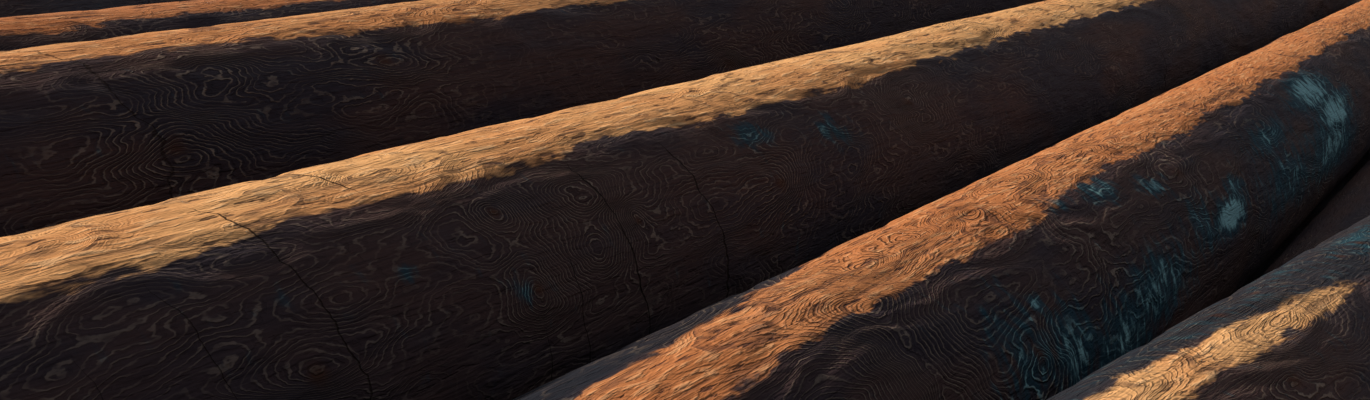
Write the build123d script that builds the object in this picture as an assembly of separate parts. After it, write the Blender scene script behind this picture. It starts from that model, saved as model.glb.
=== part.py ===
from build123d import *
import math
import os

# A stack of peeled round logs, three layers high, lying along X on a level floor at Z = 0.
# The front of the stack is towards -Y. The near ends are at -X and the far ends at +X.
# Every log tapers from butt to tip, a little hollow along its side and a little bowed, with
# bevelled sawn ends. The logs of the bottom layer lie on the floor side by side, and each log
# above is let down until it rests on the logs below it. The log at the front of the top layer
# is thin and lies askew. All sizes are in millimetres.

LOG_LENGTH = 4800.0
TYPICAL_DIAMETER = 260.0
TAPER = 5.0  # loss of diameter for each metre of length
HOLLOW = 2.0  # how far the side curves in from a straight line between butt and tip
BOW = 5.0  # how far the middle of a log lies off the line between its ends
SAWN_EDGE = 5.0  # bevel that peeling and handling leave on the rim of each end
BEARING = 0.35  # clearance left where two logs touch

NEAR = -1
FAR = 1
BEARING_X = LOG_LENGTH * 5 / 12  # the rests are worked out this far each side of mid-length
BANDS = 3  # stretches that a log is lofted in
STATIONS = 24
SETTLING_ROUNDS = 24


class Log:
    """One log: its own shape, and where its axis passes the near and the far bearing planes."""

    def __init__(self, name, size, butt, bow_angle, stagger):
        self.name = name
        self.diameter = size * TYPICAL_DIAMETER
        self.butt = butt
        self.bow_angle = math.radians(bow_angle)
        self.start = stagger - LOG_LENGTH / 2
        self.end = stagger + LOG_LENGTH / 2
        self.axis = {NEAR: (0.0, self.diameter / 2), FAR: (0.0, self.diameter / 2)}
        self.rings = [self.ring(i / BANDS) for i in range(BANDS + 1)]

    def ring(self, share):
        """Radius and sideways bow at a share of the length, counted from the near end."""
        from_butt = share if self.butt == NEAR else 1 - share
        arch = 4 * share * (1 - share)
        taper = TAPER * LOG_LENGTH / 1000 * (0.5 - from_butt) / 2
        return self.diameter / 2 + taper - HOLLOW * arch, BOW * arch

    def shape(self, x):
        """Radius and bow at x: the surface runs straight from one ring to the next."""
        place = (x - self.start) / LOG_LENGTH * BANDS
        i = min(max(int(place), 0), BANDS - 1)
        part = place - i
        return [a + (b - a) * part for a, b in zip(self.rings[i], self.rings[i + 1])]

    def radius(self, x):
        return self.shape(x)[0]

    def centre(self, x):
        """The axis at x: straight between the bearing planes, and bowed."""
        share = (x + BEARING_X) / (2 * BEARING_X)
        bow = self.shape(x)[1]
        near = self.axis[NEAR]
        far = self.axis[FAR]
        y = near[0] + (far[0] - near[0]) * share + bow * math.cos(self.bow_angle)
        z = near[1] + (far[1] - near[1]) * share + bow * math.sin(self.bow_angle)
        return y, z

    def circle(self, x):
        return (*self.centre(x), self.radius(x))

    def shift(self, plane, dy, dz):
        y, z = self.axis[plane]
        self.axis[plane] = (y + dy, z + dz)

    def solid(self):
        """The log as one solid, lofted through its rings, with bevelled sawn ends."""
        stops = [self.start + LOG_LENGTH * i / BANDS for i in range(BANDS + 1)]
        stops[0] += SAWN_EDGE
        stops[-1] -= SAWN_EDGE
        outline = [(x, *self.circle(x)) for x in stops]
        for x in (self.start, self.end):
            y, z, radius = self.circle(x)
            outline.append((x, y, z, radius - SAWN_EDGE))
        circles = []
        for x, y, z, radius in sorted(outline):
            plane = Plane(origin=(x, y, z), x_dir=(0, 1, 0), z_dir=(1, 0, 0))
            circles.append(plane * Circle(radius))
        return loft(circles, ruled=True)


def stations(plane, *logs):
    """Places along the half of the stack on one side, as far as all the given logs reach."""
    if plane == NEAR:
        reach = max(log.start for log in logs)
    else:
        reach = min(log.end for log in logs)
    return [reach * i / STATIONS for i in range(STATIONS + 1)]


def slack(log, other, plane):
    """Least gap between two logs over one half of the stack."""
    gaps = []
    for x in stations(plane, log, other):
        apart = math.dist(log.centre(x), other.centre(x))
        gaps.append(apart - log.radius(x) - other.radius(x))
    return min(gaps)


def floor_slack(log, plane):
    """Least height of a log's underside over one half of the stack."""
    return min(log.centre(x)[1] - log.radius(x) for x in stations(plane, log))


def perch(left, right, radius):
    """Centre of a circle that rests from above on two circles, each (y, z, radius)."""
    reach_left = left[2] + radius
    reach_right = right[2] + radius
    span = math.dist(left[:2], right[:2])
    along = (reach_left**2 - reach_right**2 + span**2) / (2 * span)
    up = math.sqrt(max(reach_left**2 - along**2, 0))
    unit_y = (right[0] - left[0]) / span
    unit_z = (right[1] - left[1]) / span
    return left[0] + along * unit_y - up * unit_z, left[1] + along * unit_z + up * unit_y


def lay_on_floor(log, previous, gaps):
    """Lays a log on the floor, the given gap behind the log before it at each bearing plane."""
    if previous:
        for plane in (NEAR, FAR):
            y = previous.axis[plane][0] + previous.diameter / 2 + log.diameter / 2
            log.axis[plane] = (y, log.diameter / 2)
    for _ in range(SETTLING_ROUNDS):
        for plane in (NEAR, FAR):
            log.shift(plane, 0, -floor_slack(log, plane))
            if previous:
                log.shift(plane, gaps[plane] - slack(log, previous, plane), 0)


def let_down(log, supports):
    """Lets a log down at each bearing plane on a pair of logs, or on one log that it leans over."""
    room = {(plane, side): BEARING for plane in supports for side in range(2)}
    for _ in range(SETTLING_ROUNDS):
        for plane, (left, right) in supports.items():
            x = plane * BEARING_X
            cradle = []
            for side, under in enumerate((left, right)):
                if isinstance(under, Log):
                    y, z, radius = under.circle(x)
                    cradle.append((y, z, radius + room[plane, side]))
            if len(cradle) == 2:
                y, z = perch(*cradle, log.radius(x))
            else:
                y, z, radius = cradle[0]
                lean = math.radians(right)
                y -= (radius + log.radius(x)) * math.sin(lean)
                z += (radius + log.radius(x)) * math.cos(lean)
            bowed = log.centre(x)
            log.shift(plane, y - bowed[0], z - bowed[1])
        for plane, pair in supports.items():
            for side, under in enumerate(pair):
                if isinstance(under, Log):
                    room[plane, side] += BEARING - slack(log, under, plane)


def let_down_in_row(log, left, right, before):
    """Lets a log down on the two logs below it, or on the log before it if that is in the way."""
    supports = {NEAR: (left, right), FAR: (left, right)}
    let_down(log, supports)
    if before:
        for plane in (NEAR, FAR):
            x = plane * BEARING_X
            apart = math.dist(log.centre(x), before.centre(x))
            if apart < log.radius(x) + before.radius(x) + BEARING:
                supports[plane] = (before, right)
        let_down(log, supports)
    lift_clear(log, [under for under in (left, right, before) if under])


def lift_clear(log, neighbours):
    """Lifts a log where a bowed neighbour would still press into it between the bearings."""
    for _ in range(SETTLING_ROUNDS):
        for plane in (NEAR, FAR):
            short = max(BEARING - slack(log, under, plane) for under in neighbours)
            if short > BEARING / 4:
                log.shift(plane, 0, short)


# Name, size for a typical log of 1, butt end, direction of the bow and place along X
bottom = [
    Log("bottom_log_1", 0.93, NEAR, 0, 12),
    Log("bottom_log_2", 0.91, FAR, 180, -20),
    Log("bottom_log_3", 0.89, NEAR, 0, 25),
    Log("bottom_log_4", 1.04, FAR, 180, -8),
    Log("bottom_log_5", 0.92, FAR, 0, 18),
    Log("bottom_log_6", 1.11, NEAR, 180, -28),
    Log("bottom_log_7", 1.12, FAR, 0, 5),
    Log("bottom_log_8", 1.15, NEAR, 180, 30),
    Log("bottom_log_9", 1.03, FAR, 0, -14),
]
floor_gaps_near = [0.01, 0.39, 0.21, 0.65, 0.13, 0.07, 0.01, 0.02]
floor_gaps_far = [0.08, 0.53, 0.11, 0.47, 0.13, 0.12, 0.02, 0.01]

middle = [
    Log("middle_log_1", 1.01, NEAR, 150, -22),
    Log("middle_log_2", 0.81, FAR, 30, 16),
    Log("middle_log_3", 0.84, NEAR, 200, 34),
    Log("middle_log_4", 0.91, NEAR, 340, -10),
    Log("middle_log_5", 1.08, FAR, 160, 22),
    Log("middle_log_6", 1.03, NEAR, 20, -30),
    Log("middle_log_7", 1.06, FAR, 190, 8),
    Log("middle_log_8", 1.04, NEAR, 350, -18),
]

front = Log("top_log_1", 0.64, NEAR, 200, -12)
front_lean = 9  # degrees that its near end lies to the front of the crown of the log below
top = [
    Log("top_log_2", 1.04, NEAR, 120, 26),
    Log("top_log_3", 1.05, NEAR, 60, 190),
    Log("top_log_4", 1.08, NEAR, 30, 10),
    Log("top_log_5", 0.92, FAR, 150, -32),
    Log("top_log_6", 1.08, NEAR, 100, 20),
]

for i, log in enumerate(bottom):
    if i == 0:
        lay_on_floor(log, None, None)
    else:
        near_gap = floor_gaps_near[i - 1] * TYPICAL_DIAMETER
        far_gap = floor_gaps_far[i - 1] * TYPICAL_DIAMETER
        gaps = {NEAR: near_gap, FAR: far_gap}
        lay_on_floor(log, bottom[i - 1], gaps)

for i, log in enumerate(middle):
    before = middle[i - 1] if i else None
    let_down_in_row(log, bottom[i], bottom[i + 1], before)

for i, log in enumerate(top):
    before = top[i - 1] if i else None
    let_down_in_row(log, middle[i + 2], middle[i + 3], before)

let_down(front, {NEAR: (middle[2], front_lean), FAR: (middle[0], middle[1])})

logs = bottom + middle + [front] + top
solids = {log.name: log.solid() for log in logs}

boxes = [solid.bounding_box() for solid in solids.values()]
middle_x = (min(box.min.X for box in boxes) + max(box.max.X for box in boxes)) / 2
middle_y = (min(box.min.Y for box in boxes) + max(box.max.Y for box in boxes)) / 2
to_origin = Pos(-middle_x, -middle_y, -min(box.min.Z for box in boxes))

os.makedirs("parts", exist_ok=True)
for name, solid in solids.items():
    export_step(to_origin * solid, f"parts/{name}.step")
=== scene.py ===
import math

import bpy
import numpy as np
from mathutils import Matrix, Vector


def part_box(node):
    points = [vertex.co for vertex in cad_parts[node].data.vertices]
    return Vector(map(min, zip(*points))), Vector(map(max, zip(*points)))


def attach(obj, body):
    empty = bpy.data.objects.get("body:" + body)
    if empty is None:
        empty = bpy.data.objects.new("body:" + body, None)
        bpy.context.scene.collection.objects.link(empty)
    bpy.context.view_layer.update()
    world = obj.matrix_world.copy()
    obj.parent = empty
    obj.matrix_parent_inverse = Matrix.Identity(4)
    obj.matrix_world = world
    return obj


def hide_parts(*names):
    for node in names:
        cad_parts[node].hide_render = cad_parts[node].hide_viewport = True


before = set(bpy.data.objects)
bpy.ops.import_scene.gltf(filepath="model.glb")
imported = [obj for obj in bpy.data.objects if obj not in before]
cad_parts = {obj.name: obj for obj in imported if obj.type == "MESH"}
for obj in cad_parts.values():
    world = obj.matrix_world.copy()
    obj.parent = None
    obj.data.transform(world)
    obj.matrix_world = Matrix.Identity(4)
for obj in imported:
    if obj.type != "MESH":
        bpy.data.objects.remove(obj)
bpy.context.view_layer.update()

bl_info = {
    "name": "Stack of Peeled Logs",
    "version": (1, 0, 0),
    "blender": (4, 5, 0),
    "location": "3D View > Sidebar > Log Stack",
    "description": "Dresses a stack of peeled round logs with shaved faces, growth rings and sawn ends",
    "category": "Add Mesh",
}

# The stack lies along X on the floor at Z = 0, with its front towards -Y. Sizes are in metres.

TOP_LOGS = sorted(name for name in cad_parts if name.startswith("top_log"))
MIDDLE_LOGS = sorted(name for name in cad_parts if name.startswith("middle_log"))
BOTTOM_LOGS = sorted(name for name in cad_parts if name.startswith("bottom_log"))
THIN_LOG = "top_log_1"
FRONT_LOG = "top_log_2"
MAIN_LOG = "top_log_3"
REAR_LOG = "top_log_4"

# Places on a log are given as the distance along the stack from the front log's middle, and the
# angle round the log from its crown, in degrees, positive towards the front.

# Knots: log, along, angle, half length, half width, how far the rings rise over it
KNOTS = [
    (MAIN_LOG, -1.680, 66, 0.030, 0.024, 0.013),
    (MAIN_LOG, -1.583, 63, 0.036, 0.020, -0.011),
    (MAIN_LOG, -1.511, 57, 0.020, 0.018, 0.010),
    (MAIN_LOG, -1.565, 45, 0.050, 0.026, -0.012),
    (MAIN_LOG, -1.675, 40, 0.034, 0.022, 0.012),
    (MAIN_LOG, -1.925, 66, 0.045, 0.030, 0.006),
    (MAIN_LOG, -1.745, 4, 0.060, 0.022, 0.004),
    (MAIN_LOG, -1.255, 62, 0.045, 0.026, 0.010),
    (MAIN_LOG, -0.875, 48, 0.050, 0.026, 0.012),
    (FRONT_LOG, -1.450, 8, 0.045, 0.026, -0.014),
    (FRONT_LOG, -1.560, 50, 0.075, 0.120, 0.034),
    (FRONT_LOG, -1.330, 0, 0.050, 0.022, -0.012),
    (FRONT_LOG, -1.205, 4, 0.040, 0.024, 0.013),
    (FRONT_LOG, -1.020, -2, 0.060, 0.024, 0.012),
    (FRONT_LOG, -0.800, 2, 0.060, 0.024, -0.012),
    (FRONT_LOG, -1.110, 50, 0.050, 0.032, -0.012),
    (FRONT_LOG, -1.365, 64, 0.050, 0.035, 0.013),
    (FRONT_LOG, -0.725, 40, 0.060, 0.030, 0.011),
    (THIN_LOG, -1.585, 40, 0.045, 0.020, 0.010),
    (THIN_LOG, -1.455, 12, 0.050, 0.016, -0.009),
    (THIN_LOG, -1.233, -1, 0.030, 0.018, 0.002),
    (THIN_LOG, -1.168, 0, 0.026, 0.018, 0.002),
    (THIN_LOG, -1.503, -11, 0.026, 0.016, 0.002),
    (THIN_LOG, -1.406, -12, 0.026, 0.016, 0.002),
    (REAR_LOG, -1.605, 62, 0.060, 0.030, 0.013),
    (REAR_LOG, -1.505, 34, 0.050, 0.026, -0.011),
    (REAR_LOG, -1.275, 44, 0.060, 0.030, 0.012),
]

# Cracks across the main log: along, depth, and the angles between which it lies open
MAIN_CRACKS = [
    (-2.085, 0.6, 40, 130),
    (-2.000, 0.7, 25, 75),
    (-1.893, 0.9, -2, 110),
    (-1.770, 1.3, -15, 24),
    (-1.681, 1.0, 72, 130),
    (-1.627, 1.1, 52, 120),
    (-1.537, 1.6, 26, 140),
    (-1.493, 0.5, 58, 100),
    (-1.397, 1.0, 24, 130),
    (-1.237, 0.6, 28, 50),
    (-1.145, 0.4, 50, 120),
    (-0.955, 0.5, 20, 80),
]

# Copper stains, and painted shade on the thin log: log, along, angle, half length, half width, strength
STAINS_AND_SHADE = [
    (FRONT_LOG, -0.615, 71, 0.070, 0.017, 1.6),
    (FRONT_LOG, -0.560, 60, 0.050, 0.012, 0.9),
    (FRONT_LOG, -0.825, 38, 0.035, 0.014, 0.9),
    (FRONT_LOG, -0.955, 27, 0.045, 0.018, 0.9),
    (FRONT_LOG, -1.075, 22, 0.030, 0.012, 0.7),
    (FRONT_LOG, -0.265, 51, 0.120, 0.020, 0.9),
    (FRONT_LOG, 0.155, 42, 0.150, 0.030, 1.25),
    (FRONT_LOG, 0.225, 62, 0.150, 0.030, 1.3),
    (FRONT_LOG, 0.125, 80, 0.220, 0.040, 1.0),
    (FRONT_LOG, -0.225, 78, 0.200, 0.040, 0.8),
    (FRONT_LOG, -0.745, 66, 0.060, 0.030, 0.8),
    (FRONT_LOG, -0.975, 74, 0.130, 0.035, 0.9),
    (FRONT_LOG, -1.125, 82, 0.120, 0.035, 0.9),
    (FRONT_LOG, -1.275, 70, 0.070, 0.035, 0.9),
    (FRONT_LOG, -1.385, 62, 0.070, 0.050, 0.7),
    (FRONT_LOG, -1.315, 50, 0.014, 0.008, 1.1),
    (MAIN_LOG, -1.245, 41, 0.035, 0.014, 0.8),
    (MAIN_LOG, -1.090, 49, 0.040, 0.016, 0.7),
    (MAIN_LOG, -1.700, 64, 0.016, 0.012, 0.6),
    (MAIN_LOG, -1.805, 50, 0.014, 0.008, 0.6),
    # The thin log's two entries are painted shade: a dark blue tint over its top where the front log's
    # shadow falls
    (THIN_LOG, -1.125, -6, 0.120, 0.020, 0.6),
    (THIN_LOG, -1.420, -24, 0.400, 0.060, 0.28),
    ("top_log_5", -0.425, 40, 0.200, 0.040, 0.8),
    ("top_log_6", 0.875, 55, 0.250, 0.050, 0.9),
]

# Each top log: how golden it is, against red-brown, how greyed, and how wide its rings are
TONES = {
    THIN_LOG: (0.95, 0.06, 1.2),
    FRONT_LOG: (0.15, 0.02, 1.8),
    MAIN_LOG: (0.85, 0.04, 1.1),
    REAR_LOG: (0.50, 0.04, 1.3),
    "top_log_5": (0.10, 0.05, 1.2),
    "top_log_6": (0.55, 0.20, 1.3),
}

# The band of painted sunlight on each top log's crown: along, and the angles at which it starts and
# ends
PAINTED_SUNLIT_BAND = {
    THIN_LOG: [
        (-1.78, -9, 19), (-1.56, 0, 22), (-1.34, 17, 23), (-1.26, 24, 20),
        (-0.95, 24, 20), (-0.60, -20, 26),
    ],
    FRONT_LOG: [
        (-1.87, -2, 22), (-1.62, -8, 22), (-1.48, -16, 21),
        (-1.33, -30, 24), (-0.92, -30, 18), (-0.52, -30, 22),
    ],
    MAIN_LOG: [(-2.05, -30, 25), (-1.51, -30, 24), (-1.09, -30, 30), (-0.43, -30, 28)],
    REAR_LOG: [(-1.70, -30, 20), (-1.49, -30, 19), (-1.30, -30, 24), (-1.09, -30, 28)],
    "top_log_5": [(0.0, -30, 24)],
    "top_log_6": [(0.0, -30, 26)],
    "middle_log_1": [(0.0, -30, 24)],
    "middle_log_2": [(-1.0, -30, 24), (0.4, 0, -10)],
    "middle_log_8": [(0.0, -34, 16)],
}

# The stretch that is seen closest, along from the front log's middle, the logs that have it, and
# the shares of a log's cross-sections that come before its two ends
CLOSE_STRETCH = (-2.12, -0.95)
CLOSE_LOGS = (THIN_LOG, FRONT_LOG, MAIN_LOG, REAR_LOG)
CLOSE_SHARES = (0.04, 0.64)

# How finely each log is divided: cross-sections along it, and sides round it
TOP_GRIDS = [(440, 112), (580, 166), (580, 166), (400, 120), (240, 88), (200, 80)]
MIDDLE_GRID = (150, 72)
BOTTOM_GRID = (110, 64)

FEWEST_ON_A_RING = 12  # points of the CAD log that stand at one place along it

# The number from which each lower layer's logs are counted. A log's number seeds its own wood.
MIDDLE_FIRST = 10
BOTTOM_FIRST = 20
SEED_STEP = 1.37
CRACK_SEED = 5
KNOT_SEED = 50

CHANCE_KNOTS = 14  # on each log, besides those listed above
KNOT_HEIGHT = 0.16  # how far a knot stands up, as a share of how far the rings rise over it
HIGHEST_RISE = 0.012  # of the rings, that still lifts a knot further

# Counted in growth rings: from a ridge to its groove, and from one ledge of the wood to the next
GROOVE_OFFSET = 0.3
RINGS_PER_LEDGE = 8

# Relief in the mesh: how far apart its ledges are, and the shares of ledges and hollows in its depth
LEDGE_SPACING = 0.0075
LEDGE_SHARE = 0.6
HOLLOW_SHARE = 0.4

# Relief in the peeled wood's material, too fine for the mesh
RING_HEIGHT = 0.0007
FIBRE_HEIGHT = 0.0011
SUNK_STRIP_DEPTH = 0.0005
FLAKE_HEIGHT = 0.0007
CRACK_DEPTH = 0.0015

# Sawn ends: how wide their rings and how strong their lumps are against those of the sides, the
# width and depth of the drying checks, and the height of the saw's marks
END_RING_SPACING = 3.2
END_LUMPS = 0.3
CHECK_WIDTH = 0.0016
CHECK_DEPTH = 0.002
SAW_MARK_HEIGHT = 0.0005

CAMERA_LENS = 50.0
CAMERA_ALONG = -2.775  # from the front log's middle
CAMERA_FROM_LOG = (-0.525, 0.446)  # in front of the front log's axis, and above it
CAMERA_HEADING = math.radians(26.75)  # turned in from the logs' direction
CAMERA_PITCH = math.radians(-10.28)


class LogRelief(bpy.types.PropertyGroup):
    """Sizes of the shaved and weathered surface."""

    ring_spacing: bpy.props.FloatProperty(
        name="Ring spacing", description="Distance from one growth ring to the next",
        default=0.00095, min=0.0005, unit="LENGTH",
    )
    growth_lumps: bpy.props.FloatProperty(
        name="Growth lumps", description="How far the trunk's lumps carry the rings in and out",
        default=0.06, min=0.0, unit="LENGTH",
    )
    relief_depth: bpy.props.FloatProperty(
        name="Relief depth", description="Deepest hollow that shaving left, below the true round",
        default=0.003, min=0.0, unit="LENGTH",
    )
    crack_spacing: bpy.props.FloatProperty(
        name="Cross crack spacing", description="Usual distance between cracks across the log",
        default=0.14, min=0.02, unit="LENGTH",
    )
    seed: bpy.props.IntProperty(
        name="Seed", description="Changes the growth pattern of all the logs", default=3,
    )


class LogColours(bpy.types.PropertyGroup):
    """Colours of the wood and its treatment, and of the painted sunlight and shadow on it."""

    brown: bpy.props.FloatVectorProperty(
        name="Brown wood", description="Treated wood on the sides of the logs", subtype="COLOR",
        default=(0.027, 0.019, 0.026), min=0.0, max=1.0,
    )
    tan: bpy.props.FloatVectorProperty(
        name="Tan wood", description="Less soaked patches on the sides", subtype="COLOR",
        default=(0.072, 0.040, 0.036), min=0.0, max=1.0,
    )
    # The golden and russet crowns are painted sunlight
    golden: bpy.props.FloatVectorProperty(
        name="Golden wood", description="Painted sunlight on the crown of a golden log", subtype="COLOR",
        default=(0.93, 0.49, 0.20), min=0.0, max=1.0,
    )
    russet: bpy.props.FloatVectorProperty(
        name="Russet wood", description="Painted sunlight on the crown of a red-brown log", subtype="COLOR",
        default=(0.52, 0.175, 0.062), min=0.0, max=1.0,
    )
    torn: bpy.props.FloatVectorProperty(
        name="Torn flake", description="Paler wood where the blade tore flakes up", subtype="COLOR",
        default=(0.90, 0.58, 0.31), min=0.0, max=1.0,
    )
    ridge: bpy.props.FloatVectorProperty(
        name="Ring ridge", description="Hard wood of each growth ring", subtype="COLOR",
        default=(0.44, 0.33, 0.25), min=0.0, max=1.0,
    )
    grey: bpy.props.FloatVectorProperty(
        name="Greyed wood", description="Wood that rain has greyed", subtype="COLOR",
        default=(0.26, 0.25, 0.26), min=0.0, max=1.0,
    )
    # Painted shadow: the colour laid where a taller log's shadow falls over a log's back
    painted_shadow: bpy.props.FloatVectorProperty(
        name="Painted shadow", description="Painted shadow where a taller log keeps the sun off", subtype="COLOR",
        default=(0.011, 0.015, 0.022), min=0.0, max=1.0,
    )
    crack: bpy.props.FloatVectorProperty(
        name="Crack", description="Inside of the cracks", subtype="COLOR",
        default=(0.016, 0.009, 0.007), min=0.0, max=1.0,
    )
    stain: bpy.props.FloatVectorProperty(
        name="Copper stain", description="Blue-green bloom of the preservative", subtype="COLOR",
        default=(0.34, 0.60, 0.61), min=0.0, max=1.0,
    )
    soaked: bpy.props.FloatVectorProperty(
        name="Copper-soaked wood", description="Wood that the preservative darkened", subtype="COLOR",
        default=(0.014, 0.055, 0.078), min=0.0, max=1.0,
    )
    sawn: bpy.props.FloatVectorProperty(
        name="Sawn end", description="Colour of the sawn end faces", subtype="COLOR",
        default=(0.42, 0.27, 0.15), min=0.0, max=1.0,
    )
    floor: bpy.props.FloatVectorProperty(
        name="Floor", description="Colour of the floor", subtype="COLOR",
        default=(0.66, 0.66, 0.65), min=0.0, max=1.0,
    )


def put(tree, kind, values=(), **settings):
    """Adds a node, sets it up, and fills or links its inputs by name or number."""
    node = tree.nodes.new(kind)
    for name, value in settings.items():
        setattr(node, name, value)
    for key, value in dict(values).items():
        if isinstance(value, bpy.types.NodeSocket):
            tree.links.new(value, node.inputs[key])
        else:
            node.inputs[key].default_value = value
    return node


def calc(tree, operation, *values):
    """One step of arithmetic."""
    kind = "ShaderNodeMath"
    return put(tree, kind, enumerate(values), operation=operation).outputs[0]


def stretch(tree, vector, scale):
    """A place scaled in each direction, so that noise read there is finer or drawn out."""
    node = put(tree, "ShaderNodeVectorMath", {0: vector, 1: scale}, operation="MULTIPLY")
    return node.outputs[0]


def noise(tree, vector, detail=1.0):
    """Soft noise from 0 to 1 at a place."""
    values = {"Vector": vector, "Detail": detail, "Scale": 1.0}
    return put(tree, "ShaderNodeTexNoise", values).outputs["Fac"]


def moved(tree, vector, distance):
    """A place further along the log, where the same noise reads differently."""
    node = put(tree, "ShaderNodeVectorMath", {0: vector, 1: (distance, 0.0, 0.0)}, operation="ADD")
    return node.outputs[0]


def swayed(tree, value, wander, reach):
    """A value moved up and down by noise, over the reach in all."""
    shift = calc(tree, "MULTIPLY", calc(tree, "SUBTRACT", wander, 0.5), reach)
    return calc(tree, "ADD", value, shift)


def blend(tree, factor, first, second):
    """The first colour where the factor is 0, and the second where it is 1."""
    node = put(tree, "ShaderNodeMix", {0: factor, 6: first, 7: second}, data_type="RGBA")
    return node.outputs[2]


def step(tree, value, low, high):
    """Goes smoothly from 0 at the first bound to 1 at the second, whichever is larger."""
    values = {0: value, 1: low, 2: high}
    kind = "ShaderNodeMapRange"
    return put(tree, kind, values, interpolation_type="SMOOTHSTEP").outputs[0]


def opaque(colour, share=1.0):
    """A colour for a node's socket, darkened to a share of itself."""
    return (*[part * share for part in colour], 1.0)


def new_group(name, kind, inputs, outputs):
    """An empty node group with its named sockets. Returns the group and its two end nodes."""
    group = bpy.data.node_groups.new(name, kind)
    for label, socket, value in inputs:
        made = group.interface.new_socket(label, in_out="INPUT", socket_type=socket)
        if value is not None:
            made.default_value = value
    for label, socket in outputs:
        group.interface.new_socket(label, in_out="OUTPUT", socket_type=socket)
    return group, group.nodes.new("NodeGroupInput"), group.nodes.new("NodeGroupOutput")


def growth_field(tree, place, push, spacing, lumps):
    """Ring count at a place in the wood: distance from the pith, pushed about by lumps and knots."""
    parts = put(tree, "ShaderNodeSeparateXYZ", {0: place})
    out = calc(tree, "POWER", parts.outputs[1], 2.0)
    up = calc(tree, "POWER", parts.outputs[2], 2.0)
    depth = calc(tree, "ADD", calc(tree, "SQRT", calc(tree, "ADD", out, up)), push)
    broad = noise(tree, stretch(tree, place, (2.2, 9.0, 9.0)), 1.0)
    swirl = noise(tree, stretch(tree, place, (9.0, 30.0, 30.0)), 1.0)
    shake = noise(tree, stretch(tree, place, (70.0, 170.0, 170.0)), 2.0)
    for value, share in ((broad, 1.0), (swirl, 0.26), (shake, 0.026)):
        shift = calc(tree, "MULTIPLY", calc(tree, "SUBTRACT", value, 0.5), lumps)
        depth = calc(tree, "ADD", depth, calc(tree, "MULTIPLY", shift, share))
    return calc(tree, "DIVIDE", depth, spacing)


def growth_rings_group():
    """Growth rings cut at a glancing angle: thin ridges that run like the lines of a map."""
    sockets = [
        ("Place", "NodeSocketVector", None),
        ("Push", "NodeSocketFloat", 0.0),
        ("Spacing", "NodeSocketFloat", 0.001),
        ("Lumps", "NodeSocketFloat", 0.06),
        ("Shown", "NodeSocketFloat", 0.0),
    ]
    outputs = [(name, "NodeSocketFloat") for name in ("Ridge", "Groove", "Edge", "Height")]
    group, start, end = new_group("Growth Rings", "ShaderNodeTree", sockets, outputs)
    place, push, spacing, lumps, near_knot = list(start.outputs)[:5]
    count = growth_field(group, place, push, spacing, lumps)
    ridge = step(group, calc(group, "PINGPONG", count, 0.5), 0.17, 0.04)
    # Beside each ridge lies a groove, sunk in the relief and darkened in the colour as painted shade
    beside = calc(group, "ADD", count, GROOVE_OFFSET)
    groove = step(group, calc(group, "PINGPONG", beside, 0.5), 0.2, 0.06)
    # Rings show clearly in some patches and near knots, and elsewhere faintly
    shown = noise(group, stretch(group, moved(group, place, 3.0), (5.0, 14.0, 14.0)), 2.0)
    shown = calc(group, "MULTIPLY", step(group, shown, 0.42, 0.62), 0.4)
    shown = calc(group, "MAXIMUM", calc(group, "ADD", shown, 0.12), near_knot)
    broken = noise(group, stretch(group, moved(group, place, 9.0), (55.0, 80.0, 80.0)), 2.0)
    broken = calc(group, "MULTIPLY", step(group, broken, 0.38, 0.58), 0.65)
    broken = calc(group, "ADD", broken, 0.35)
    shown = calc(group, "MULTIPLY", shown, broken)
    ridge = calc(group, "MULTIPLY", ridge, shown)
    groove = calc(group, "MULTIPLY", groove, shown)
    # The blade left a ledge every few rings, which rises slowly and ends in a sharp edge
    ledge = calc(group, "FRACT", calc(group, "MULTIPLY", count, 1 / RINGS_PER_LEDGE))
    # The sharp edge gives a dark line, which the colour uses as a painted shadow
    edge = calc(group, "MULTIPLY", step(group, ledge, 0.15, 0.03), broken)
    ledge = calc(group, "MULTIPLY", ledge, 1.2)
    height = calc(group, "ADD", ledge, calc(group, "SUBTRACT", ridge, groove))
    for name, value in (("Ridge", ridge), ("Groove", groove), ("Edge", edge), ("Height", height)):
        group.links.new(value, end.inputs[name])
    return group


def cross_cracks_group():
    """Fine wandering cracks across the log, one at each whole number of the count."""
    sockets = [
        ("Place", "NodeSocketVector", None),
        ("Count", "NodeSocketFloat", 0.0),
        ("Depth", "NodeSocketFloat", 0.0),
    ]
    outputs = [("Crack", "NodeSocketFloat")]
    group, start, end = new_group("Cross Cracks", "ShaderNodeTree", sockets, outputs)
    place, count, depth = list(start.outputs)[:3]
    drift = noise(group, stretch(group, place, (6.0, 14.0, 14.0)), 1.0)
    jitter = noise(group, stretch(group, place, (45.0, 80.0, 80.0)), 3.0)
    count = swayed(group, swayed(group, count, drift, 0.35), jitter, 0.08)
    apart = calc(group, "PINGPONG", count, 0.5)
    thin = step(group, apart, calc(group, "MULTIPLY", depth, 0.012), 0.001)
    group.links.new(calc(group, "MULTIPLY", thin, depth), end.inputs["Crack"])
    return group


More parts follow.
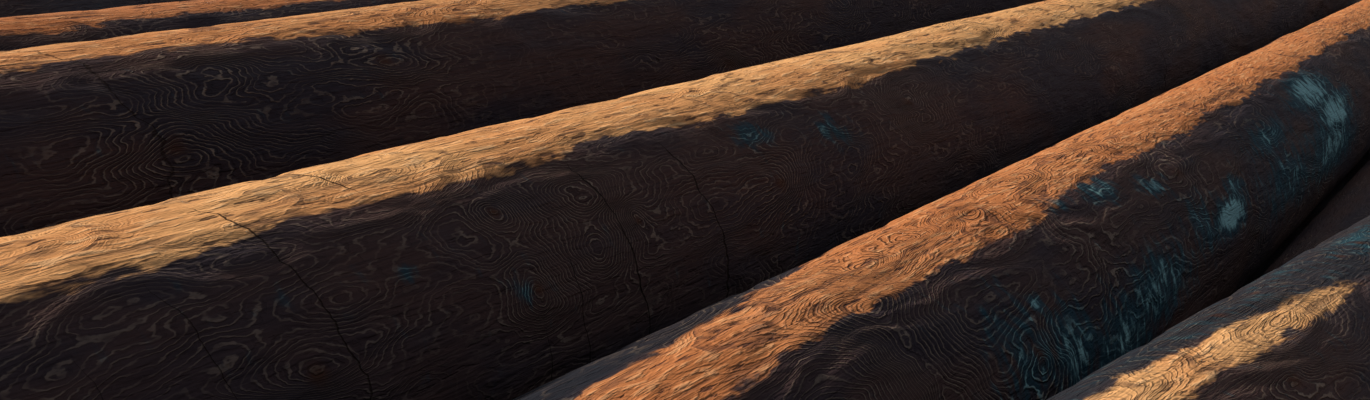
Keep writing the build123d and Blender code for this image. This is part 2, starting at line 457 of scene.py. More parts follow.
def wood_fibre_group():
    """Fine fibres and torn flakes along the log, soaked patches, and small dark knots."""
    sockets = [("Place", "NodeSocketVector", None)]
    names = ("Fibre", "Patch", "Speck", "Flake", "Tear")
    outputs = [(name, "NodeSocketFloat") for name in names]
    group, start, end = new_group("Wood Fibre", "ShaderNodeTree", sockets, outputs)
    place = start.outputs[0]
    fine = noise(group, stretch(group, place, (22.0, 420.0, 420.0)), 3.0)
    patch = noise(group, stretch(group, moved(group, place, 7.0), (4.0, 13.0, 13.0)), 3.0)
    dots = {"Vector": stretch(group, place, (7.0, 10.0, 10.0)), "Scale": 1.0}
    near = put(group, "ShaderNodeTexVoronoi", dots, feature="F1").outputs["Distance"]
    torn = noise(group, stretch(group, moved(group, place, 11.0), (30.0, 170.0, 170.0)), 3.0)
    group.links.new(fine, end.inputs["Fibre"])
    group.links.new(step(group, patch, 0.38, 0.64), end.inputs["Patch"])
    group.links.new(step(group, near, 0.045, 0.025), end.inputs["Speck"])
    # A flake stands where the noise is high, and its torn-out bed where it is low
    group.links.new(step(group, torn, 0.53, 0.68), end.inputs["Flake"])
    group.links.new(step(group, torn, 0.40, 0.31), end.inputs["Tear"])
    return group


def copper_stain_group():
    """Blue-green bloom, and the wider tint round it, where the mesh says that they may be."""
    sockets = [("Place", "NodeSocketVector", None), ("Amount", "NodeSocketFloat", 0.0)]
    outputs = [("Bloom", "NodeSocketFloat"), ("Tint", "NodeSocketFloat")]
    group, start, end = new_group("Copper Stain", "ShaderNodeTree", sockets, outputs)
    place, amount = list(start.outputs)[:2]
    ragged = noise(group, stretch(group, place, (85.0, 46.0, 46.0)), 5.0)
    ragged = calc(group, "ADD", amount, calc(group, "MULTIPLY", ragged, 1.8))
    group.links.new(step(group, ragged, 1.7, 2.15), end.inputs["Bloom"])
    group.links.new(step(group, ragged, 1.1, 1.7), end.inputs["Tint"])
    return group


def crown_group():
    """The band of painted sunlight on the crown, with its edges torn along the fibres and rings."""
    sockets = [
        ("Place", "NodeSocketVector", None),
        ("Inside", "NodeSocketFloat", 0.0),
        ("Relief", "NodeSocketFloat", 0.0),
    ]
    outputs = [("Crown", "NodeSocketFloat"), ("Sunk Strip", "NodeSocketFloat")]
    group, start, end = new_group("Painted Sunlit Crown", "ShaderNodeTree", sockets, outputs)
    place, inside, relief = list(start.outputs)[:3]
    broad = noise(group, stretch(group, place, (9.0, 26.0, 26.0)), 2.0)
    torn = noise(group, stretch(group, place, (32.0, 110.0, 110.0)), 4.0)
    inside = swayed(group, swayed(group, inside, broad, 0.035), torn, 0.028)
    inside = calc(group, "ADD", inside, calc(group, "MULTIPLY", relief, 0.0022))
    group.links.new(step(group, inside, -0.0025, 0.0035), end.inputs["Crown"])
    # Sunk strips along the fibres, more of them towards the band's edges, where the band's colour is
    # darker
    strips = noise(group, stretch(group, moved(group, place, 5.0), (14.0, 120.0, 120.0)), 5.0)
    strips = calc(group, "SUBTRACT", strips, calc(group, "MULTIPLY", inside, 1.2))
    group.links.new(step(group, strips, 0.5, 0.62), end.inputs["Sunk Strip"])
    return group


def use_group(tree, group, **values):
    """A node group in a material, with its inputs filled or linked by name."""
    return put(tree, "ShaderNodeGroup", values, node_tree=group)


def new_material(name):
    """A material with its shader linked up. Returns it, its node tree and the shader."""
    material = bpy.data.materials.new(name)
    material.use_nodes = True
    material.node_tree.nodes.clear()
    tree = material.node_tree
    shader = put(tree, "ShaderNodeBsdfPrincipled")
    output = put(tree, "ShaderNodeOutputMaterial")
    tree.links.new(shader.outputs[0], output.inputs[0])
    return material, tree, shader


def kept(tree, name, output="Fac"):
    """A value that the log's mesh keeps at each point."""
    return put(tree, "ShaderNodeAttribute", attribute_name=name).outputs[output]


def make_peeled_wood(relief, colours, groups):
    """The sides of the logs: rings, fibres, stain and cracks, under painted sunlight on the crown and
    painted shadow behind it.
    """
    _, tree, shader = new_material("Peeled wood")
    place = kept(tree, "wood_place", "Vector")
    width = kept(tree, "ring_width")
    rings = use_group(
        tree, groups["rings"], Place=place, Push=kept(tree, "knot_push"), Shown=kept(tree, "ring_show"),
        Spacing=calc(tree, "MULTIPLY", width, relief.ring_spacing), Lumps=relief.growth_lumps,
    ).outputs
    crack = use_group(
        tree, groups["cracks"], Place=place,
        Count=kept(tree, "crack_count"), Depth=kept(tree, "crack_depth"),
    ).outputs[0]
    fibre = use_group(tree, groups["fibre"], Place=place).outputs
    stain = use_group(tree, groups["stain"], Place=place, Amount=kept(tree, "stain")).outputs
    crown = use_group(
        tree, groups["crown"], Place=place, Inside=kept(tree, "painted_sunlight"), Relief=rings["Height"]
    ).outputs
    crown, sunk_strip = crown["Crown"], crown["Sunk Strip"]
    core = kept(tree, "knot_core")
    golden = kept(tree, "golden")
    painted_shadow = kept(tree, "painted_shadow")

    side = blend(tree, fibre["Patch"], opaque(colours.brown), opaque(colours.tan))
    # Painted sunlight: the crown's band takes a lit golden or russet colour, far lighter than the brown
    # sides
    mottled = calc(tree, "MULTIPLY", golden, calc(tree, "MULTIPLY_ADD", fibre["Patch"], -0.6, 1.2))
    painted_sunlight = blend(tree, mottled, opaque(colours.russet), opaque(colours.golden))
    rough = blend(tree, 0.55, painted_sunlight, side)
    flake = calc(tree, "MULTIPLY", fibre["Flake"], calc(tree, "MULTIPLY_ADD", golden, 0.3, 0.27))
    painted_sunlight = blend(tree, flake, painted_sunlight, opaque(colours.torn))
    # Darker sunk strips take the band's colour partway back to the sides' brown
    painted_sunlight = blend(tree, calc(tree, "MULTIPLY", sunk_strip, 0.8), painted_sunlight, rough)
    wood = blend(tree, calc(tree, "MULTIPLY", crown, 0.95), side, painted_sunlight)
    grey = calc(tree, "MULTIPLY", kept(tree, "greyed"), calc(tree, "SUBTRACT", 1.3, fibre["Patch"]))
    wood = blend(tree, grey, wood, opaque(colours.grey))
    # Painted shadow: a dark colour over the wood behind the band, where a taller log's shadow falls
    wood = blend(tree, calc(tree, "MULTIPLY", painted_shadow, 0.85), wood, opaque(colours.painted_shadow))
    streak = calc(tree, "MULTIPLY", step(tree, fibre["Fibre"], 0.4, 0.72), 0.45)
    off_crown = calc(tree, "SUBTRACT", 1.0, calc(tree, "MULTIPLY", crown, 0.7))
    streak = calc(tree, "MULTIPLY", streak, off_crown)
    wood = blend(tree, streak, wood, opaque(colours.brown, 0.6))
    # The soaked tint; on the thin log it is painted shade
    wood = blend(tree, calc(tree, "MULTIPLY", stain["Tint"], 0.8), wood, opaque(colours.soaked))
    hard = blend(tree, stain["Tint"], opaque(colours.ridge), opaque(colours.stain))
    # Ridges in the painted sunlit band take its lit colour
    hard = blend(tree, calc(tree, "MULTIPLY", crown, 0.6), hard, painted_sunlight)
    showing = calc(tree, "ADD", 0.5, calc(tree, "MULTIPLY", stain["Tint"], 0.4))
    # Ridges show less in knot cores and in the painted shadow
    plain = calc(tree, "SUBTRACT", 1.0, calc(tree, "MULTIPLY", core, 0.5))
    plain = calc(tree, "SUBTRACT", plain, calc(tree, "MULTIPLY", painted_shadow, 0.4))
    ridge = calc(tree, "MULTIPLY", calc(tree, "MULTIPLY", rings["Ridge"], plain), showing)
    wood = blend(tree, ridge, wood, hard)
    # Painted shade: each ring's groove is darkened, more in the sunlit band
    deep = calc(tree, "ADD", 0.4, calc(tree, "MULTIPLY", crown, 0.45))
    groove = calc(tree, "MULTIPLY", calc(tree, "MULTIPLY", rings["Groove"], plain), deep)
    wood = blend(tree, groove, wood, opaque(colours.brown, 0.35))
    # Painted shadow: a dark line along each ledge's edge, in the sunlit band only
    edge = calc(tree, "MULTIPLY", rings["Edge"], calc(tree, "MULTIPLY", crown, 0.6))
    wood = blend(tree, edge, wood, opaque(colours.brown))
    wood = blend(tree, calc(tree, "MULTIPLY", core, 0.6), wood, opaque(colours.russet, 0.16))
    # Painted shade: in the sunlit band, the torn-out beds of flakes go back to dark brown
    torn_bed_shade = calc(tree, "MULTIPLY", fibre["Tear"], crown)
    wood = blend(tree, calc(tree, "MULTIPLY", torn_bed_shade, 0.7), wood, opaque(colours.brown))
    wood = blend(tree, stain["Bloom"], wood, opaque(colours.stain))
    dark = calc(tree, "MAXIMUM", crack, calc(tree, "MULTIPLY", fibre["Speck"], 0.8))
    wood = blend(tree, dark, wood, opaque(colours.crack))
    tree.links.new(wood, shader.inputs["Base Color"])
    shader.inputs["Roughness"].default_value = 0.78
    shader.inputs["Specular IOR Level"].default_value = 0.02

    height = calc(tree, "MULTIPLY", calc(tree, "MULTIPLY", rings["Height"], width), RING_HEIGHT)
    lift = calc(tree, "SUBTRACT", fibre["Flake"], calc(tree, "MULTIPLY", fibre["Tear"], 1.5))
    for value, reach in (
        (fibre["Fibre"], FIBRE_HEIGHT), (sunk_strip, -SUNK_STRIP_DEPTH), (lift, FLAKE_HEIGHT), (dark, -CRACK_DEPTH),
    ):
        height = calc(tree, "ADD", height, calc(tree, "MULTIPLY", value, reach))
    bump = put(tree, "ShaderNodeBump", {"Height": height, "Distance": 1.0, "Strength": 1.0})
    tree.links.new(bump.outputs[0], shader.inputs["Normal"])


def make_sawn_end(relief, colours, groups):
    """The sawn ends: rings, drying checks that run in from the rim, and the marks of the saw."""
    _, tree, shader = new_material("Sawn end")
    place = kept(tree, "wood_place", "Vector")
    rings = use_group(
        tree, groups["rings"], Place=place, Push=0.0, Shown=0.9,
        Spacing=relief.ring_spacing * END_RING_SPACING, Lumps=relief.growth_lumps * END_LUMPS,
    ).outputs
    along, out, up = put(tree, "ShaderNodeSeparateXYZ", {0: place}).outputs
    angle = calc(tree, "ARCTAN2", up, out)
    wobble = noise(tree, stretch(tree, place, (1.0, 18.0, 18.0)), 2.0)
    angle = calc(tree, "ADD", angle, calc(tree, "MULTIPLY", wobble, 0.25))
    own_angle = calc(tree, "ADD", angle, calc(tree, "MULTIPLY", along, 1.7))
    spokes = put(
        tree, "ShaderNodeTexVoronoi", {"W": own_angle, "Scale": 1.6},
        voronoi_dimensions="1D", feature="DISTANCE_TO_EDGE",
    ).outputs["Distance"]
    squares = [calc(tree, "POWER", part, 2.0) for part in (out, up)]
    depth = calc(tree, "SQRT", calc(tree, "ADD", *squares))
    width = calc(tree, "DIVIDE", CHECK_WIDTH, calc(tree, "MAXIMUM", depth, 0.01))
    checks = calc(tree, "LESS_THAN", spokes, width)
    turned = {0: calc(tree, "MULTIPLY", angle, 2.2), 1: along}
    start = noise(tree, put(tree, "ShaderNodeCombineXYZ", turned).outputs[0])
    start = calc(tree, "MULTIPLY", calc(tree, "SUBTRACT", start, 0.32), 0.28)
    opened = step(tree, calc(tree, "SUBTRACT", depth, start), 0.0, 0.03)
    checks = calc(tree, "MULTIPLY", checks, opened)
    broad_place = stretch(tree, place, (1.0, 2.5, 2.5))
    patch = use_group(tree, groups["fibre"], Place=broad_place).outputs["Patch"]
    aged = blend(tree, 0.55, opaque(colours.sawn), opaque(colours.grey))
    wood = blend(tree, calc(tree, "MULTIPLY", patch, 0.7), opaque(colours.sawn), aged)
    ridge = calc(tree, "MULTIPLY", rings["Ridge"], 0.55)
    wood = blend(tree, ridge, wood, opaque(colours.tan))
    rim = calc(tree, "MULTIPLY", step(tree, depth, 0.07, 0.13), 0.45)
    wood = blend(tree, rim, wood, opaque(colours.russet))
    wood = blend(tree, checks, wood, opaque(colours.crack))
    tree.links.new(wood, shader.inputs["Base Color"])
    shader.inputs["Roughness"].default_value = 0.85
    shader.inputs["Specular IOR Level"].default_value = 0.2
    teeth = noise(tree, stretch(tree, place, (1.0, 30.0, 400.0)), 2.0)
    height = calc(tree, "MULTIPLY", teeth, SAW_MARK_HEIGHT)
    height = calc(tree, "SUBTRACT", height, calc(tree, "MULTIPLY", checks, CHECK_DEPTH))
    bump = put(tree, "ShaderNodeBump", {"Height": height, "Distance": 1.0})
    tree.links.new(bump.outputs[0], shader.inputs["Normal"])


def rings_of(node):
    """Circles that the CAD log's surface passes through, as (x, y, z, radius), near end first."""
    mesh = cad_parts[node].data
    points = np.array([vertex.co for vertex in mesh.vertices], float)
    stops = np.round(points[:, 0], 4)
    rings = []
    for stop in np.unique(stops):
        ring = np.unique(np.round(points[stops == stop][:, 1:], 6), axis=0)
        if len(ring) < FEWEST_ON_A_RING:
            continue
        left = np.c_[2 * ring, np.ones(len(ring))]
        y, z, rest = np.linalg.lstsq(left, (ring**2).sum(1), rcond=None)[0]
        rings.append((float(stop), y, z, math.sqrt(rest + y * y + z * z)))
    return rings


def middle_of_front_log():
    """Where along the stack the front log's middle lies."""
    low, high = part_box(FRONT_LOG)
    return (low[0] + high[0]) / 2


def centre_line(node, lengthwise):
    """A curve along the log's pith whose radius is the log's, for the node tree to dress."""
    rings = np.array(rings_of(node))
    near, far = rings[1, 0], rings[-2, 0]
    places = [near, far]
    shares = [0.0, 1.0]
    if node in CLOSE_LOGS:
        places[1:1] = [middle_of_front_log() + stop for stop in CLOSE_STRETCH]
        shares[1:1] = CLOSE_SHARES
    body = np.interp(np.linspace(0, 1, lengthwise), shares, places)
    stops = np.concatenate([[rings[0, 0]], body, [rings[-1, 0]]])
    values = np.array([np.interp(stops, rings[:, 0], rings[:, k]) for k in (1, 2, 3)]).T
    curve = bpy.data.curves.new(node + "_pith", "CURVE")
    curve.dimensions = "3D"
    spline = curve.splines.new("POLY")
    spline.points.add(len(stops) - 1)
    for point, x, (y, z, radius) in zip(spline.points, stops, values):
        point.co = (x, y, z, 1.0)
        point.radius = radius
    line = bpy.data.objects.new(node + "_pith", curve)
    bpy.context.scene.collection.objects.link(line)
    return line


def log_tree():
    """Geometry nodes that turn a pith line into a shaved log with its wood's own coordinates."""
    sockets = [
        ("Geometry", "NodeSocketGeometry", None),
        ("Sides", "NodeSocketInt", 96),
        ("Seed", "NodeSocketFloat", 0.0),
        ("Relief Depth", "NodeSocketFloat", 0.003),
        ("Lumps", "NodeSocketFloat", 0.06),
        ("Side Material", "NodeSocketMaterial", None),
        ("End Material", "NodeSocketMaterial", None),
    ]
    outputs = [("Geometry", "NodeSocketGeometry")]
    tree, start, end = new_group("Shaved Log", "GeometryNodeTree", sockets, outputs)
    given = start.outputs
    pith = put(tree, "GeometryNodeCaptureAttribute", {0: given["Geometry"]}, domain="POINT")
    pith.capture_items.new("VECTOR", "Pith")
    position = put(tree, "GeometryNodeInputPosition").outputs[0]
    tree.links.new(position, pith.inputs[1])
    circle = put(
        tree, "GeometryNodeCurvePrimitiveCircle", {"Resolution": given["Sides"], "Radius": 1.0}
    )
    radius = put(tree, "GeometryNodeInputRadius").outputs[0]
    skin = put(
        tree, "GeometryNodeCurveToMesh",
        {
            "Curve": pith.outputs[0], "Profile Curve": circle.outputs[0],
            "Scale": radius, "Fill Caps": True,
        },
    )
    out = put(tree, "ShaderNodeVectorMath", {0: position, 1: pith.outputs[1]}, operation="SUBTRACT")
    along = put(tree, "ShaderNodeSeparateXYZ", {0: position}).outputs[0]
    across = put(tree, "ShaderNodeSeparateXYZ", {0: out.outputs[0]})
    # Each log reads the noise at a place of its own, far from the others'
    along = calc(tree, "ADD", along, calc(tree, "MULTIPLY", given["Seed"], 10.0))
    place = put(
        tree, "ShaderNodeCombineXYZ",
        {0: along, 1: across.outputs[1], 2: across.outputs[2]},
    ).outputs[0]
    keep = put(
        tree, "GeometryNodeStoreNamedAttribute", {"Geometry": skin.outputs[0], "Name": "wood_place"},
        data_type="FLOAT_VECTOR", domain="POINT",
    )
    tree.links.new(place, keep.inputs["Value"])
    place = put(
        tree, "GeometryNodeInputNamedAttribute", {"Name": "wood_place"}, data_type="FLOAT_VECTOR"
    ).outputs[0]
    count = growth_field(tree, place, 0.0, LEDGE_SPACING, given["Lumps"])
    ledges = step(tree, calc(tree, "PINGPONG", count, 0.5), 0.05, 0.45)
    waves = noise(tree, stretch(tree, place, (4.0, 16.0, 16.0)), 3.0)
    hollow = calc(tree, "MULTIPLY", step(tree, waves, 0.65, 0.3), HOLLOW_SHARE)
    hollow = calc(tree, "ADD", hollow, calc(tree, "MULTIPLY", ledges, LEDGE_SHARE))
    drop = calc(tree, "MULTIPLY", calc(tree, "MULTIPLY", hollow, given["Relief Depth"]), -1.0)
    across_only = stretch(tree, place, (0.0, 1.0, 1.0))
    outward = put(tree, "ShaderNodeVectorMath", {0: across_only}, operation="NORMALIZE")
    shift = put(tree, "ShaderNodeVectorMath", {0: outward.outputs[0]}, operation="SCALE")
    tree.links.new(drop, shift.inputs["Scale"])
    shaved = put(
        tree, "GeometryNodeSetPosition", {"Geometry": keep.outputs[0], "Offset": shift.outputs[0]}
    )
    normal = put(tree, "ShaderNodeSeparateXYZ", {0: put(tree, "GeometryNodeInputNormal").outputs[0]})
    facing = calc(tree, "ABSOLUTE", normal.outputs[0])
    is_end = calc(tree, "GREATER_THAN", facing, 0.9)
    is_side = calc(tree, "LESS_THAN", facing, 0.5)
    smooth = put(
        tree, "GeometryNodeSetShadeSmooth", {"Geometry": shaved.outputs[0], "Shade Smooth": is_side}
    )
    real = put(tree, "GeometryNodeRealizeInstances", {"Geometry": smooth.outputs[0]})
    side = put(
        tree, "GeometryNodeSetMaterial",
        {"Geometry": real.outputs[0], "Material": given["Side Material"]},
    )
    ends = put(
        tree, "GeometryNodeSetMaterial",
        {"Geometry": side.outputs[0], "Selection": is_end, "Material": given["End Material"]},
    )
    tree.links.new(ends.outputs[0], end.inputs[0])


def dress_log(node, number, lengthwise, sides):
    """Replaces one CAD log with its shaved, ringed and sawn surface."""
    scene = bpy.context.scene
    relief = scene.log_relief
    if "Shaved Log" not in bpy.data.node_groups:
        raise RuntimeError("The wood is made before the logs are dressed")
    line = centre_line(node, lengthwise)
    modifier = line.modifiers.new("Shaved Log", "NODES")
    modifier.node_group = bpy.data.node_groups["Shaved Log"]
    values = {
        "Sides": sides,
        "Seed": relief.seed + number * SEED_STEP,
        "Relief Depth": relief.relief_depth,
        "Lumps": relief.growth_lumps,
        "Side Material": bpy.data.materials["Peeled wood"],
        "End Material": bpy.data.materials["Sawn end"],
    }
    for item in modifier.node_group.interface.items_tree:
        if item.in_out == "INPUT" and item.name in values:
            modifier[item.identifier] = values[item.name]
    graph = bpy.context.evaluated_depsgraph_get()
    mesh = bpy.data.meshes.new_from_object(line.evaluated_get(graph))
    mesh.name = node + "_dressed"
    bpy.data.objects.remove(line)
    if len(mesh.polygons) < lengthwise * sides:
        raise RuntimeError(node + " came out without its whole surface")
    piece = bpy.data.objects.new(node + "_dressed", mesh)
    scene.collection.objects.link(piece)
    mark_wood(piece, node, number)
    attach(piece, "root")
    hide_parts(node)


def crack_list(node, number):
    """The cracks across a log: along, depth, and the angles between which each is open."""
    spacing = bpy.context.scene.log_relief.crack_spacing
    random = np.random.default_rng(number + CRACK_SEED)
    cracks = list(MAIN_CRACKS) if node == MAIN_LOG else []
    reach = 2.5  # to just past both ends
    place = cracks[-1][0] if cracks else -reach
    while place < reach:
        place += spacing * random.uniform(0.6, 2.4)
        middle = random.uniform(-180, 180)
        width = random.uniform(30, 75)
        cracks.append((place, random.uniform(0.3, 0.9), middle - width, middle + width))
    closed = (-2.7, 0.0, 0, 1)  # beyond the near end, so that the count starts on no open crack
    return [closed, *cracks]


def apart_in_degrees(first, second):
    """The turn from the second angle to the first, from -180 to 180 degrees."""
    return (first - second + 180) % 360 - 180


def read_vectors(items, name):
    """A named vector of every item, one row for each."""
    values = np.empty(len(items) * 3, np.float32)
    items.foreach_get(name, values)
    return values.reshape(-1, 3)


class Skin:
    """The points of a dressed log's surface, by their place along and round the log."""

    def __init__(self, mesh):
        self.spot = read_vectors(mesh.vertices, "co")
        self.place = read_vectors(mesh.attributes["wood_place"].data, "vector")
        self.along = self.spot[:, 0] - middle_of_front_log()
        self.angle = np.degrees(np.arctan2(-self.place[:, 1], self.place[:, 2]))
        self.around = np.hypot(self.place[:, 1], self.place[:, 2])
        self.count = len(self.spot)

    def distance(self, along, angle, half_length, half_width):
        """How far each point is from the middle of a mark, whose own edge is at 1."""
        off = np.radians(apart_in_degrees(self.angle, angle)) * self.around
        return np.hypot((self.along - along) / half_length, off / half_width)


def mark_knots(skin, node, random):
    """How far knots push the rings, their dark cores, and where rings show round them."""
    knots = [knot[1:] for knot in KNOTS if knot[0] == node]
    for _ in range(CHANCE_KNOTS):
        knots.append((
            random.uniform(-0.6, 2.3), random.uniform(-180, 180), random.uniform(0.03, 0.06),
            random.uniform(0.02, 0.035), random.uniform(0.009, 0.014),
        ))
    push, core, show = np.zeros((3, skin.count))
    for *where, rise in knots:
        apart = skin.distance(*where)
        push += rise * np.exp(-(apart**1.5))
        show = np.maximum(show, min(1, abs(rise) / 0.01) * np.exp(-((apart / 2.2) ** 2)))
        # A raised knot has a dark core, but a large swirl has none
        if 0 < rise < 0.02:
            core = np.maximum(core, np.clip(1.3 - apart * 4.5, 0, 1))
    return {"knot_push": push, "knot_core": core, "ring_show": show}


def mark_stains_and_shade(skin, node):
    """How strongly the preservative may bloom, and where the thin log's painted shade lies."""
    stain = np.zeros(skin.count)
    for log, *where, strength in STAINS_AND_SHADE:
        if log == node:
            stain = np.maximum(stain, strength * np.exp(-(skin.distance(*where) ** 2) * 0.7))
    return {"stain": stain}


def mark_cracks(skin, node, number):
    """A count that passes a whole number at each crack, and how deep that crack is here."""
    cracks = crack_list(node, number)
    places = [crack[0] for crack in cracks]
    crack_count = np.interp(skin.along, places, range(len(places)))
    nearest = np.clip(np.round(crack_count).astype(int), 0, len(places) - 1)
    depths, lows, highs = np.array(cracks)[nearest].T[1:]
    off = np.abs(apart_in_degrees(skin.angle, (lows + highs) / 2))
    crack_depth = depths * np.clip(((highs - lows) / 2 - off) / 15, 0, 1)
    return {"crack_count": crack_count, "crack_depth": crack_depth}


def mark_tone(skin, node, random):
    """The log's tone and ring width, which are the same all over it."""
    covered = (random.uniform(0, 1), random.uniform(0, 0.2), random.uniform(1.0, 1.5))
    tone = zip(("golden", "greyed", "ring_width"), TONES.get(node, covered))
    return {name: np.full(skin.count, value) for name, value in tone}


def mark_band(skin, node):
    """How far inside the painted sunlit band each point is, and where painted shadow lies behind the
    band.
    """
    painted_sunlight = np.full(skin.count, -1.0)
    painted_shadow = np.zeros(skin.count)
    if node in PAINTED_SUNLIT_BAND:
        stops, lows, highs = np.array(PAINTED_SUNLIT_BAND[node]).T
        low = np.interp(skin.along, stops, lows)
        high = np.interp(skin.along, stops, highs)
        inside = np.minimum(skin.angle - low, high - skin.angle)
        painted_sunlight = np.radians(inside) * skin.around
        # Where a band reaches 30 degrees over the back, no painted shadow lies behind it
        painted_shadow = np.clip((low - skin.angle) / 4, 0, 1) * np.clip((low + 30) / 6, 0, 1)
    return {"painted_sunlight": painted_sunlight, "painted_shadow": painted_shadow}


def mark_wood(piece, node, number):
    """Keeps knots, cracks, stains, the painted sunlit band and painted shadow, and the log's tone on
    the mesh, and raises its knots a little.
    """
    mesh = piece.data
    skin = Skin(mesh)
    random = np.random.default_rng(number + KNOT_SEED)
    marks = {
        **mark_knots(skin, node, random),
        **mark_stains_and_shade(skin, node),
        **mark_cracks(skin, node, number),
        **mark_tone(skin, node, random),
        **mark_band(skin, node),
    }
    for name, value in marks.items():
        layer = mesh.attributes.new(name, "FLOAT", "POINT")
        layer.data.foreach_set("value", value.astype(np.float32))
    outward = skin.place[:, 1:] / np.maximum(skin.around, 0.001)[:, None]
    raised = np.clip(marks["knot_push"], 0, HIGHEST_RISE) * KNOT_HEIGHT
    skin.spot[:, 1:] += outward * raised[:, None]
    mesh.vertices.foreach_set("co", skin.spot.ravel())
    mesh.update()


class LOGS_OT_wood(bpy.types.Operator):
    """Makes the wood's materials and the node tree that shapes a log"""

    bl_idname = "logs.wood"
    bl_label = "Make wood"

    def execute(self, context):
        if not TOP_LOGS or not MIDDLE_LOGS or not BOTTOM_LOGS:
            raise RuntimeError("The frame lacks a layer of logs")
        groups = {
            "rings": growth_rings_group(),
            "cracks": cross_cracks_group(),
            "fibre": wood_fibre_group(),
            "stain": copper_stain_group(),
            "crown": crown_group(),
        }
        relief = context.scene.log_relief
        colours = context.scene.log_colours
        make_peeled_wood(relief, colours, groups)
        make_sawn_end(relief, colours, groups)
        log_tree()
        return {"FINISHED"}


class LOGS_OT_top_layer(bpy.types.Operator):
    """Dresses the logs of the top layer, which are seen closest"""

    bl_idname = "logs.top_layer"
    bl_label = "Dress top layer"

    def execute(self, context):
        for number, (node, grid) in enumerate(zip(TOP_LOGS, TOP_GRIDS)):
            dress_log(node, number, *grid)
        return {"FINISHED"}


class LOGS_OT_middle_layer(bpy.types.Operator):
    """Dresses the logs of the middle layer"""

    bl_idname = "logs.middle_layer"
    bl_label = "Dress middle layer"

    def execute(self, context):
        for number, node in enumerate(MIDDLE_LOGS, MIDDLE_FIRST):
            dress_log(node, number, *MIDDLE_GRID)
        return {"FINISHED"}


class LOGS_OT_bottom_layer(bpy.types.Operator):
    """Dresses the logs of the bottom layer, which lie on the floor"""

    bl_idname = "logs.bottom_layer"
    bl_label = "Dress bottom layer"

    def execute(self, context):
        for number, node in enumerate(BOTTOM_LOGS, BOTTOM_FIRST):
            dress_log(node, number, *BOTTOM_GRID)
        return {"FINISHED"}


class LOGS_OT_stage(bpy.types.Operator):
    """Sets the floor, the light and the camera"""

    bl_idname = "logs.stage"
    bl_label = "Set stage"

    def execute(self, context):
        scene = context.scene
        if FRONT_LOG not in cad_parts:
            raise RuntimeError("The camera is placed from the front log, which is missing")
        make_floor(scene)
        make_light(scene)
        make_camera(scene)
        return {"FINISHED"}


def make_floor(scene):
    """A plain pale floor under the stack."""
    material, _, shader = new_material("Pale floor")
    shader.inputs["Base Color"].default_value = opaque(scene.log_colours.floor)
    shader.inputs["Roughness"].default_value = 0.9
    reach = 40.0
    corners = [(-reach, -reach, 0), (reach, -reach, 0), (reach, reach, 0), (-reach, reach, 0)]
    mesh = bpy.data.meshes.new("Floor")
    mesh.from_pydata(corners, [], [(0, 1, 2, 3)])
    mesh.materials.append(material)
    floor = bpy.data.objects.new("Floor", mesh)
    scene.collection.objects.link(floor)


def make_light(scene):
    """A low lamp behind the stack, a broad high one in front, and even light from all round."""
    world = bpy.data.worlds.new("Studio")
    world.use_nodes = True
    tree = world.node_tree
    tree.nodes.clear()
    sky = {"Color": opaque((0.70, 0.80, 1.0)), "Strength": 0.12}
    pale = {"Color": opaque((0.8, 0.8, 0.8)), "Strength": 1.0}
    around = put(tree, "ShaderNodeBackground", sky)
    backdrop = put(tree, "ShaderNodeBackground", pale)
    ray = put(tree, "ShaderNodeLightPath").outputs
    seen = calc(tree, "MAXIMUM", ray["Is Camera Ray"], ray["Is Glossy Ray"])
    seen = calc(tree, "MAXIMUM", seen, ray["Is Transmission Ray"])
    mix = put(tree, "ShaderNodeMixShader", {0: seen, 1: around.outputs[0], 2: backdrop.outputs[0]})
    output = put(tree, "ShaderNodeOutputWorld")
    tree.links.new(mix.outputs[0], output.inputs[0])
    scene.world = world
    warm, cool = (1.0, 0.9, 0.76), (0.86, 0.92, 1.0)
    add_lamp(scene, "Low lamp", azimuth=98, height=33, strength=5.0, softness=5, colour=warm)
    add_lamp(scene, "High lamp", azimuth=-80, height=62, strength=0.24, softness=60, colour=cool)


def direction(heading, pitch):
    """A unit vector turned from X by the heading and raised by the pitch."""
    flat = math.cos(pitch)
    return Vector((flat * math.cos(heading), flat * math.sin(heading), math.sin(pitch)))


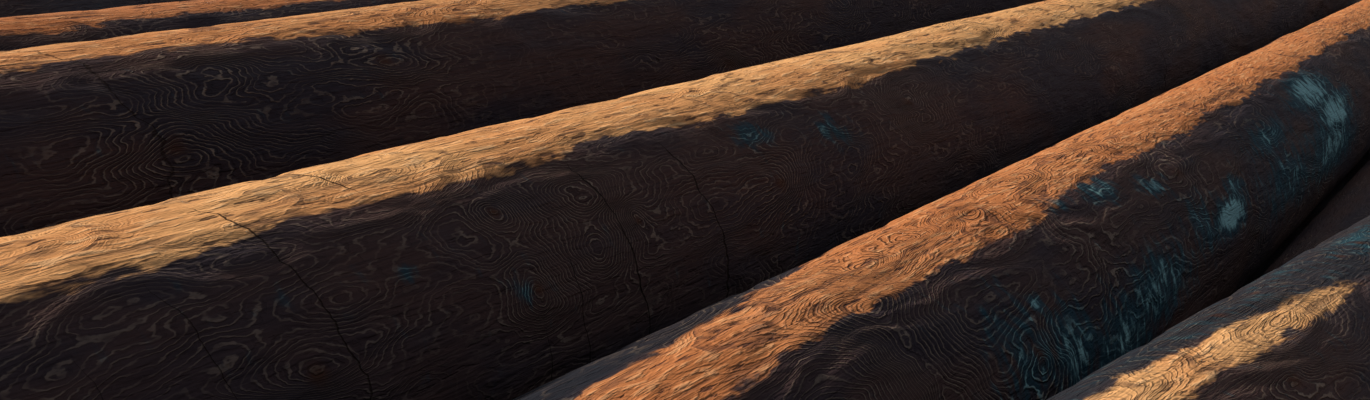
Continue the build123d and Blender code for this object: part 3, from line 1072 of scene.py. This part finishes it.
def add_lamp(scene, name, azimuth, height, strength, softness, colour):
    """A distant soft lamp that stands in the given direction, in degrees."""
    lamp = bpy.data.lights.new(name, "SUN")
    lamp.energy = strength
    lamp.angle = math.radians(softness)
    lamp.color = colour
    stand = bpy.data.objects.new(name, lamp)
    distance = 8.0
    towards = direction(math.radians(azimuth), math.radians(height))
    stand.location = towards * distance
    stand.rotation_euler = towards.to_track_quat("Z", "Y").to_euler()
    scene.collection.objects.link(stand)


def make_camera(scene):
    """The photograph's view: across the top layer from close to its near end."""
    camera = bpy.data.cameras.new("Camera")
    camera.lens = CAMERA_LENS
    camera.clip_start = 0.01
    eye = bpy.data.objects.new("Camera", camera)
    _, y, z, _ = rings_of(FRONT_LOG)[1]
    in_front, above = CAMERA_FROM_LOG
    eye.location = (middle_of_front_log() + CAMERA_ALONG, y + in_front, z + above)
    look = direction(CAMERA_HEADING, CAMERA_PITCH)
    eye.rotation_euler = look.to_track_quat("-Z", "Y").to_euler()
    scene.collection.objects.link(eye)
    scene.camera = eye
    scene.view_settings.view_transform = "Standard"


class LOGS_PT_stack(bpy.types.Panel):
    """Lists the steps and the sizes of the log stack"""

    bl_label = "Log Stack"
    bl_idname = "LOGS_PT_stack"
    bl_space_type = "VIEW_3D"
    bl_region_type = "UI"
    bl_category = "Log Stack"

    def draw(self, context):
        layout = self.layout
        for step_class in STEPS:
            layout.operator(step_class.bl_idname)
        for settings in (context.scene.log_relief, context.scene.log_colours):
            for name in settings.__annotations__:
                layout.prop(settings, name)


STEPS = (
    LOGS_OT_wood,
    LOGS_OT_top_layer,
    LOGS_OT_middle_layer,
    LOGS_OT_bottom_layer,
    LOGS_OT_stage,
)
CLASSES = (LogRelief, LogColours, *STEPS, LOGS_PT_stack)


def register():
    for kind in CLASSES:
        bpy.utils.register_class(kind)
    bpy.types.Scene.log_relief = bpy.props.PointerProperty(type=LogRelief)
    bpy.types.Scene.log_colours = bpy.props.PointerProperty(type=LogColours)


def unregister():
    del bpy.types.Scene.log_colours
    del bpy.types.Scene.log_relief
    for kind in reversed(CLASSES):
        bpy.utils.unregister_class(kind)


def main():
    register()
    bpy.ops.logs.wood()
    bpy.ops.logs.top_layer()
    bpy.ops.logs.middle_layer()
    bpy.ops.logs.bottom_layer()
    bpy.ops.logs.stage()


if __name__ == "__main__":
    main()
